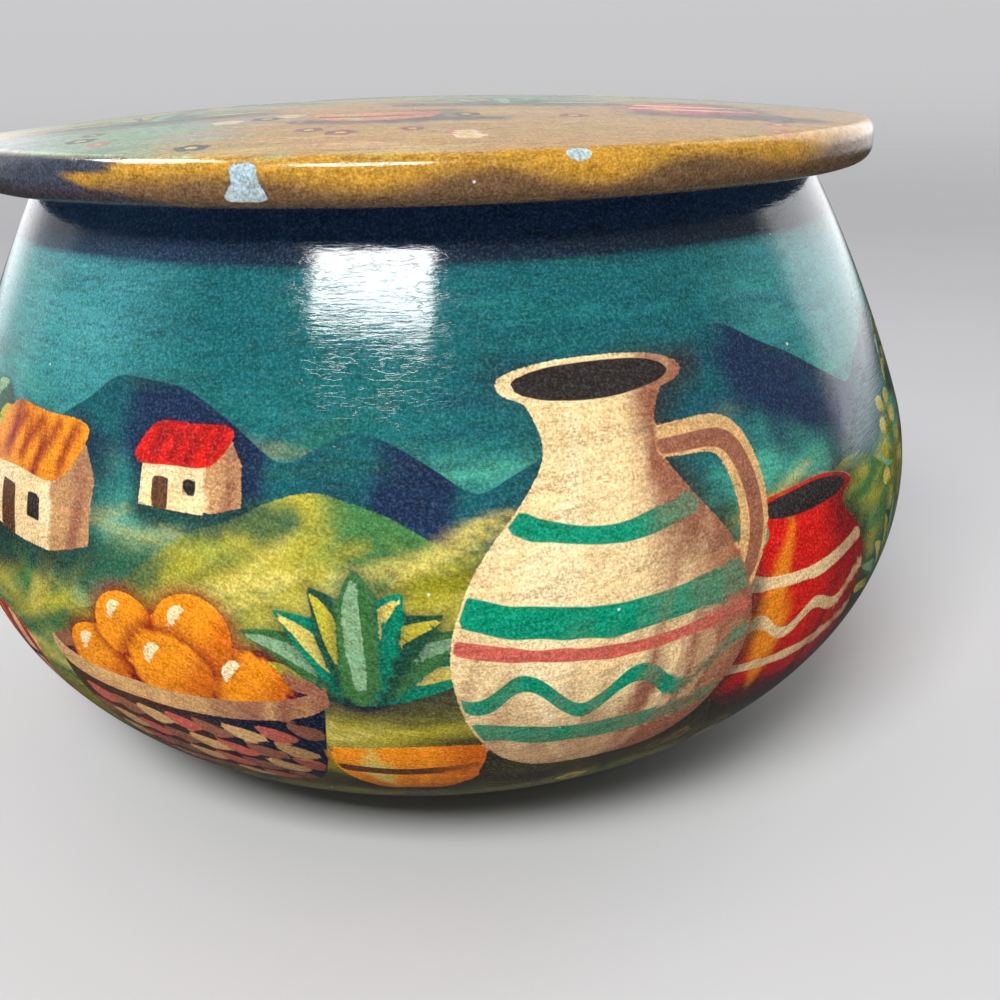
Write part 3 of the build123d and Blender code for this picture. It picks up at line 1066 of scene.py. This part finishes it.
def paintSideWares(canvas):
    paintCloth(canvas, 80, 18, 18, 11, ("cream", "brownShade"), (green, warm))
    marks = [("wave", 0.5, 0.7, pale), ("ring", 0.72, 0.6, "umber")]
    paintPot(canvas, 99, 21, "round", 19, 19, orangeClay, marks, far)
    marks = [("ring", 0.5, 0.8, warm), ("zigzag", 0.32, 0.6, "sand")]
    paintPot(canvas, 116, 19, "jug", 19, 26, darkClay, marks)
    marks = [("ring", 0.66, 0.7, pale), ("ring", 0.48, 1.0, pale), ("zigzag", 0.34, 0.7, "orange"),
             ("ring", 0.18, 0.8, pale)]
    paintPot(canvas, 158, 20, "jug", 25, 33, redClay, marks)
    marks = [("ring", 0.66, 1.0, green), ("wave", 0.42, 0.7, warm)]
    paintPot(canvas, -175, 19, "round", 22, 20, creamClay, marks, far)
    heap = [(-6.0, 0.6, 3.1), (6.2, 0.8, 3.2), (0.4, 4.2, 3.2), (-0.2, 0.8, 3.6)]
    paintBasket(canvas, -126, 20, 23, 12, heap, "red", "deepRed", 7)
    marks = [("ring", 0.54, 1.0, green), ("ring", 0.44, 0.6, warm), ("ring", 0.2, 0.9, green)]
    paintPot(canvas, -94, 20, "jug", 21, 28, creamClay, marks)
    paintPot(canvas, -79, 18, "bowl", 14, 8.5, orangeClay, [("ring", 0.6, 0.6, "umber")])


def makeBowl(wood):
    outline = bowlOutline()
    piece, angle, along, radius = turn("bowlTurned", outline, bowl["around"])
    wet = paintedPlaces(outline, bowl["around"])
    rise = along[wet].max() - along  # up from the foot along the surface
    place, up, wide = np.degrees(angle[wet]), rise[wet], radius[wet]

    def flatten(a, b):
        return wide * np.radians((place - a + 180) % 360 - 180), up - b

    canvas = Canvas(flatten, len(wet))
    paintBowl(canvas, place, up)
    wave = np.sin(4 * angle + 0.6) * 5.0 + np.sin(7 * angle + 2.0) * 2.0  # strokes follow the hills
    canvas.save(piece.data, wet, rise + wave * smooth(rise, 56, 40))
    piece.data.materials.append(wood)
    piece.data.materials.append(paintedFinish("bowlPaint", bowlFinish))
    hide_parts("bowl")
    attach(piece, "bowl")
    print("bowl:", len(piece.data.polygons), "faces")


# Lid: a disc with a rounded rim, a shallow dome and a plug
solidLow, solidHigh = (np.array(corner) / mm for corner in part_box("lid"))
lid = {
    "radius": (solidHigh[0] - solidLow[0]) / 2,
    "rimUnder": 1.5,
    "rimBand": 1.2,
    "rimOver": 1.2,
    "crown": solidHigh[2],
    "plugGap": 0.4,
    "plugEnd": solidLow[2],
    "plugEdge": 0.8,
    "dishLand": 6.0,
    "dishDepth": 1.8,
    "around": 640,
    "fine": 0.5,
    "finest": 0.3,  # on the rim's rounds
    "sideStep": 0.4,  # down its side
    "underStep": 2.5,  # across its underside
    "coarse": 5.0,
}


def lidOutline():
    d = lid
    seat, plug, end = bowl["height"], bowl["mouthRadius"] - d["plugGap"], d["plugEnd"]
    bandLow = seat + d["rimUnder"]
    bandHigh = bandLow + d["rimBand"]
    side = Outline((0.0, d["crown"]))
    side.arc((d["radius"] - d["rimOver"], bandHigh + d["rimOver"]), (1, 0), painted, d["fine"])
    side.arc((d["radius"], bandHigh), (1, 0), painted, d["finest"])
    side.line((d["radius"], bandLow), painted, d["sideStep"])
    side.arc((d["radius"] - d["rimUnder"], seat), (0, -1), painted, d["finest"])
    side.line((plug, seat), painted, d["underStep"])
    side.corners(((plug, end + d["plugEdge"]), (plug - d["plugEdge"], end), (plug - d["dishLand"], end)))
    side.arcBack((0.0, end + d["dishDepth"]), (1, 0), bare, d["coarse"])
    return side


# The lid's painting: x and y lie flat from its middle, and out is the way from there along the surface
lidPeaks = [(-27, 25, 17), (0, 31, 22), (25, 26, 15)]
lidHills = [(-30, 10, 22), (4, 7, 22), (34, 11, 20)]
lidTrees = [(-31, 3, 1.1), (31, 4, 1.2), (12, 8, 0.7)]
lidCottages = [(-15, 4, 1.2, "red"), (20, 6, 0.9, "orange")]
lidAgaves = [(8, -14, 1.2, False), (-24, -17, 1.2, True)]
rim = {
    "top": (44.1, 44.8),  # out, where the rim's own paint starts and is whole
    "middle": 46.0,
    "shade": (45.7, 47.4),
    "seat": (48.0, 49.4),
}
chips = [  # degrees round, out, and the outline of each chip down to the primer
    (-14.5, 46.3, [(-1.0, 1.3), (0.9, 1.4), (1.2, 0.2), (1.9, -1.1), (-0.2, -1.3), (-1.9, -1.0),
                   (-1.1, 0.1)]),
    (17, 44.9, [(-1.0, 0.1), (-0.2, 0.6), (0.9, 0.3), (0.8, -0.4), (-0.3, -0.5)]),
]


def paintLidLand(canvas, x, y, patch):
    canvas.wash("teal", (
        ("mint", smooth(24 - y + 8 * patch, 0, 14) * 0.8),
        ("sage", smooth(4 - y + 9 * patch, 0, 8)),
        ("ochre", smooth(-6 - y + 8 * patch + 0.12 * x, 0, 9)),
    ))
    dabs(canvas, 80, ((-46, 46), (14, 46)), (12, 1.0), (0, 5), 0.45, ("teal", "lagoon", "mint"))
    paintRange(canvas, "far", x, y, lidPeaks, "teal", "navy", (6, 14), 51)
    names = ("teal", "navy", "pineGreen")
    dabs(canvas, 30, ((-40, 40), (12, 30)), (9, 0.9), (0, 28), 0.45, names, "hills")
    paintRange(canvas, "hills", x, y, lidHills, "yellowOlive", "leaf", (5, 12), 61)
    names = ("yellowOlive", "leaf", "sage", "moss")
    dabs(canvas, 70, ((-44, 44), (-8, 14)), (9, 1.2), (10, 16), 0.55, names, "near")
    names = ("ochre", "straw", "olive", "ochre", "sand")
    dabs(canvas, 190, ((-46, 46), (-46, -8)), (9, 1.0), (4, 10), 0.55, names, "near")
    # the top's left front: sage paint, with a painted lavender sheen over it for the room's reflection, in
    # the glaze and the dabs below
    canvas.glaze(smooth(-8 - x - 8 * patch, 0, 10) * smooth(-14 - y, 0, 8), "sage")
    canvas.glaze(smooth(-24 - x - 6 * patch, 0, 10) * smooth(-14 - y, 0, 8) * 0.8, "lavender")
    names = ("mint", "sage", "lavender", "pineGreen")
    dabs(canvas, 44, ((-42, -10), (-44, -20)), (9, 1.1), (14, 12), 0.6, names, "near")


def paintLid(canvas, x, y, out, place):
    patch = cloudy(x / 9 + 30, y / 9 + 30, 41)
    paintLidLand(canvas, x, y, patch)
    paintVillage(canvas, lidTrees, lidCottages, lidAgaves)
    paintFlowers(canvas, 22, ((-34, 34), (-38, -20)), ("salmon", "charcoal", "cream", "deepRed"))
    paintPot(canvas, 25, -22, "round", 12, 12, redClay, [("ring", 0.7, 0.6, pale), ("ring", 0.4, 0.6, pale)])
    paintPot(canvas, -3, -27, "bowl", 11, 6, orangeClay, [("ring", 0.6, 0.6, "umber")])
    paintRim(canvas, out, place + 14 * (patch - 0.5), patch)


def paintRim(canvas, out, place, patch):  # the rim's side, from the edge of the top to the seat
    face = smooth(out, *rim["top"])
    canvas.glaze(face, "ochre")
    canvas.glaze(face * smooth(np.abs(place % 360 - 180), 70, 50), "moss")
    wedge = 7 * np.abs(out - rim["middle"]) - 40 + 12 * cloudy(place / 7, out * 1.6, 33)
    canvas.glaze(face * smooth(place, -118, -100) * smooth(wedge - place, -1, 3), "slate")
    low = out + 1.8 * (patch - 0.5) + 0.9 * smooth(place, 0, 35)
    canvas.glaze(smooth(low, *rim["shade"]) * 0.8, (tint("umber") + tint("slate")) * 0.4)
    canvas.glaze(smooth(out, *rim["seat"]) * 0.95, "night")
    for degrees, away, corners in chips:
        turned = math.radians(degrees)
        spot = Spot(canvas, away * math.sin(turned), -away * math.cos(turned), 5, degrees)
        spot.lay("marks", spot.loop(curved(corners, True, 3)), "primer")


def makeLid(wood):
    outline = lidOutline()
    piece, angle, out = turn("lidTurned", outline, lid["around"])[:3]
    wet = paintedPlaces(outline, lid["around"])
    x, y = out[wet] * np.sin(angle[wet]), -out[wet] * np.cos(angle[wet])
    canvas = Canvas(lambda a, b: (x - a, y - b), len(wet))
    paintLid(canvas, x, y, out[wet], np.degrees(angle[wet]))
    canvas.save(piece.data, wet, out)
    piece.data.materials.append(wood)
    piece.data.materials.append(paintedFinish("lidPaint", lidFinish))
    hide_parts("lid")
    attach(piece, "lid")
    print("lid:", len(piece.data.polygons), "faces")


setCamera()
makeFloor()
makeRoom()
for name, box in softBoxes.items():
    makeSoftBox(name, box)
print("camera, floor, room and lamps set")
bareWood = woodFinish("bareWood", turnedWood)
makeBowl(bareWood)
makeLid(bareWood)
